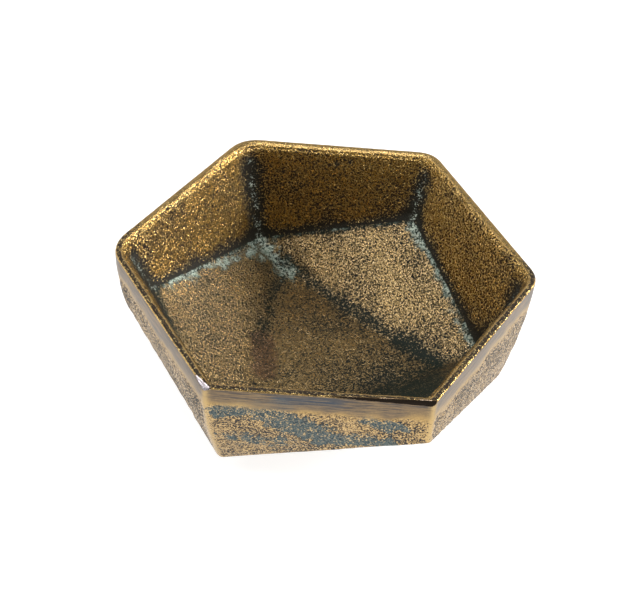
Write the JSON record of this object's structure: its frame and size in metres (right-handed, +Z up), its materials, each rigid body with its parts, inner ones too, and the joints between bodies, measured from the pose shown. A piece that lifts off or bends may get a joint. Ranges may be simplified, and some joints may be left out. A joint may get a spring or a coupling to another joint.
{
  "type": "hexagonal cast bowl",
  "caption": "Heavy cast brass bowl, hexagonal, with flat walls, a ground lip and a faceted inside floor, on felt pads.",
  "frame": {"origin": "middle of the bounding box at the underside of the felt pads", "axes": "+Z up through the open mouth, +X towards one low corner of the hexagon, +Y across two walls"},
  "size_m": [0.1766, 0.1566, 0.0613],
  "materials": {
    "antique_brass": "sand-cast and darkened, with a rubbed golden lip and edges and green-blue patina in the low places",
    "felt": "pressed wool felt"
  },
  "bodies": {
    "root": {"bowl_casting": "antique_brass", "felt_pad_1": "felt", "felt_pad_2": "felt", "felt_pad_3": "felt"}
  },
  "joints": []
}
